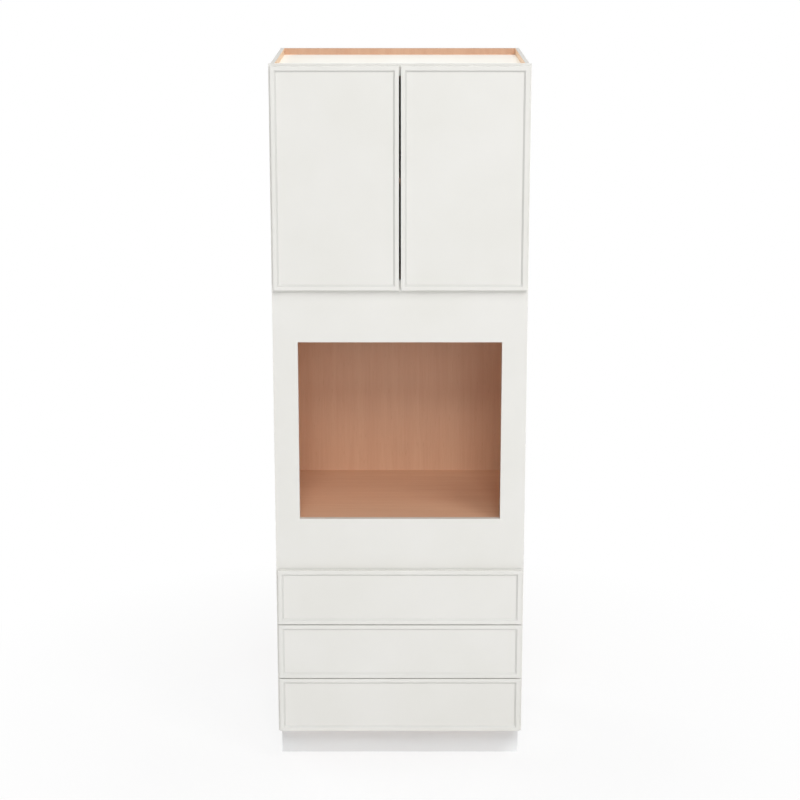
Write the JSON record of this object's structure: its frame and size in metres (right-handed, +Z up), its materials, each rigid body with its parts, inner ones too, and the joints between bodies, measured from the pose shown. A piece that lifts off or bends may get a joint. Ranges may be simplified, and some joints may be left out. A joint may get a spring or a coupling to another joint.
{
  "type": "oven cabinet",
  "caption": "Tall framed kitchen cabinet with an open bay for a wall oven, a cupboard with swinging doors above and wide drawers on full-extension runners below.",
  "frame": {"origin": "middle of the cabinet's bounding box, on the floor it stands on", "axes": "+Z up, -Y out of the doors and drawer fronts, +Y towards the wall, +X to the right of someone who faces the fronts"},
  "size_m": [0.8382, 0.6306, 2.4003],
  "materials": {
    "white_paint": "satin white lacquer",
    "veneered_board": "white lacquer outside, clear-coated veneer inside",
    "natural_wood": "clear-coated veneer",
    "drawer_wood": "clear-coated solid wood",
    "runner_steel": "zinc-plated",
    "bright_steel": "bright nickel-plated",
    "nickel_plate": "nickel-plated",
    "bracket_plastic": "moulded grey",
    "latch_plastic": "moulded dark grey",
    "clear_rubber": "clear, soft"
  },
  "bodies": {
    "cabinet": {"left_side_panel": "veneered_board", "right_side_panel": "veneered_board", "back_panel": "natural_wood", "top_panel": "natural_wood", "cupboard_floor": "natural_wood", "oven_shelf": "natural_wood", "bottom_panel": "natural_wood", "oven_shelf_cleats": "natural_wood", "toe_kick_board": "white_paint", "left_stile": "white_paint", "right_stile": "white_paint", "top_rail": "white_paint", "bottom_rail": "white_paint", "drawer_rails": "white_paint", "oven_front_panel": "white_paint", "adjustable_shelf": "natural_wood", "shelf_pins": "bright_steel", "left_hinge_arms": "nickel_plate", "right_hinge_arms": "nickel_plate", "hinge_arm_pins": "bright_steel", "runner_fixed_members": "runner_steel", "runner_rear_brackets": "bracket_plastic"},
    "left_long_links": {"left_hinge_long_links": "nickel_plate"},
    "left_short_links": {"left_hinge_short_links": "nickel_plate"},
    "left_door": {"left_door_frame": "white_paint", "left_door_panel": "white_paint", "left_door_bumpers": "clear_rubber", "left_hinge_cups": "nickel_plate", "left_hinge_cup_pins": "bright_steel"},
    "right_long_links": {"right_hinge_long_links": "nickel_plate"},
    "right_short_links": {"right_hinge_short_links": "nickel_plate"},
    "right_door": {"right_door_frame": "white_paint", "right_door_panel": "white_paint", "right_door_bumpers": "clear_rubber", "right_hinge_cups": "nickel_plate", "right_hinge_cup_pins": "bright_steel"},
    "bottom_drawer": {"bottom_drawer_front_frame": "white_paint", "bottom_drawer_front_panel": "white_paint", "bottom_drawer_sides": "drawer_wood", "bottom_drawer_ends": "drawer_wood", "bottom_drawer_bottom": "drawer_wood", "bottom_drawer_members": "runner_steel", "bottom_drawer_latches": "latch_plastic"},
    "bottom_middle_members": {"bottom_runner_middles": "runner_steel"},
    "middle_drawer": {"middle_drawer_front_frame": "white_paint", "middle_drawer_front_panel": "white_paint", "middle_drawer_sides": "drawer_wood", "middle_drawer_ends": "drawer_wood", "middle_drawer_bottom": "drawer_wood", "middle_drawer_members": "runner_steel", "middle_drawer_latches": "latch_plastic"},
    "middle_middle_members": {"middle_runner_middles": "runner_steel"},
    "top_drawer": {"top_drawer_front_frame": "white_paint", "top_drawer_front_panel": "white_paint", "top_drawer_sides": "drawer_wood", "top_drawer_ends": "drawer_wood", "top_drawer_bottom": "drawer_wood", "top_drawer_members": "runner_steel", "top_drawer_latches": "latch_plastic"},
    "top_middle_members": {"top_runner_middles": "runner_steel"}
  },
  "joints": [
    {"name": "left_long_link_turn", "type": "hinge", "parent": "cabinet", "child": "left_long_links", "pos_m": [-0.36045, -0.27427, 2.032], "axis": [0, 0, 1], "range_deg": [0, 32.76]},
    {"name": "left_door_swing", "type": "hinge", "parent": "left_long_links", "child": "left_door", "pos_m": [-0.39875, -0.29818, 2.032], "axis": [0, 0, -1], "range_deg": [0, 137.75]},
    {"name": "left_short_link_turn", "type": "hinge", "parent": "cabinet", "child": "left_short_links", "pos_m": [-0.37645, -0.29307, 2.032], "axis": [0, 0, 1], "range_deg": [0, 47.7]},
    {"name": "right_long_link_turn", "type": "hinge", "parent": "cabinet", "child": "right_long_links", "pos_m": [0.36045, -0.27427, 2.032], "axis": [0, 0, -1], "range_deg": [0, 32.76]},
    {"name": "right_door_swing", "type": "hinge", "parent": "right_long_links", "child": "right_door", "pos_m": [0.39875, -0.29818, 2.032], "axis": [0, 0, 1], "range_deg": [0, 137.75]},
    {"name": "right_short_link_turn", "type": "hinge", "parent": "cabinet", "child": "right_short_links", "pos_m": [0.37645, -0.29307, 2.032], "axis": [0, 0, -1], "range_deg": [0, 47.7]},
    {"name": "bottom_drawer_slide", "type": "slide", "parent": "cabinet", "child": "bottom_drawer", "axis": [0, -1, 0], "range_m": [0, 0.5334]},
    {"name": "bottom_middle_slide", "type": "slide", "parent": "cabinet", "child": "bottom_middle_members", "axis": [0, -1, 0], "range_m": [0, 0.2667]},
    {"name": "middle_drawer_slide", "type": "slide", "parent": "cabinet", "child": "middle_drawer", "axis": [0, -1, 0], "range_m": [0, 0.5334]},
    {"name": "middle_middle_slide", "type": "slide", "parent": "cabinet", "child": "middle_middle_members", "axis": [0, -1, 0], "range_m": [0, 0.2667]},
    {"name": "top_drawer_slide", "type": "slide", "parent": "cabinet", "child": "top_drawer", "axis": [0, -1, 0], "range_m": [0, 0.5334]},
    {"name": "top_middle_slide", "type": "slide", "parent": "cabinet", "child": "top_middle_members", "axis": [0, -1, 0], "range_m": [0, 0.2667]}
  ],
  "couplings": [
    {"joint": "left_long_link_turn", "follows": "left_door_swing", "ratio": 0.23775},
    {"joint": "left_short_link_turn", "follows": "left_door_swing", "ratio": 0.34622},
    {"joint": "right_long_link_turn", "follows": "right_door_swing", "ratio": 0.23775},
    {"joint": "right_short_link_turn", "follows": "right_door_swing", "ratio": 0.34622},
    {"joint": "bottom_middle_slide", "follows": "bottom_drawer_slide", "ratio": 0.5},
    {"joint": "middle_middle_slide", "follows": "middle_drawer_slide", "ratio": 0.5},
    {"joint": "top_middle_slide", "follows": "top_drawer_slide", "ratio": 0.5}
  ]
}
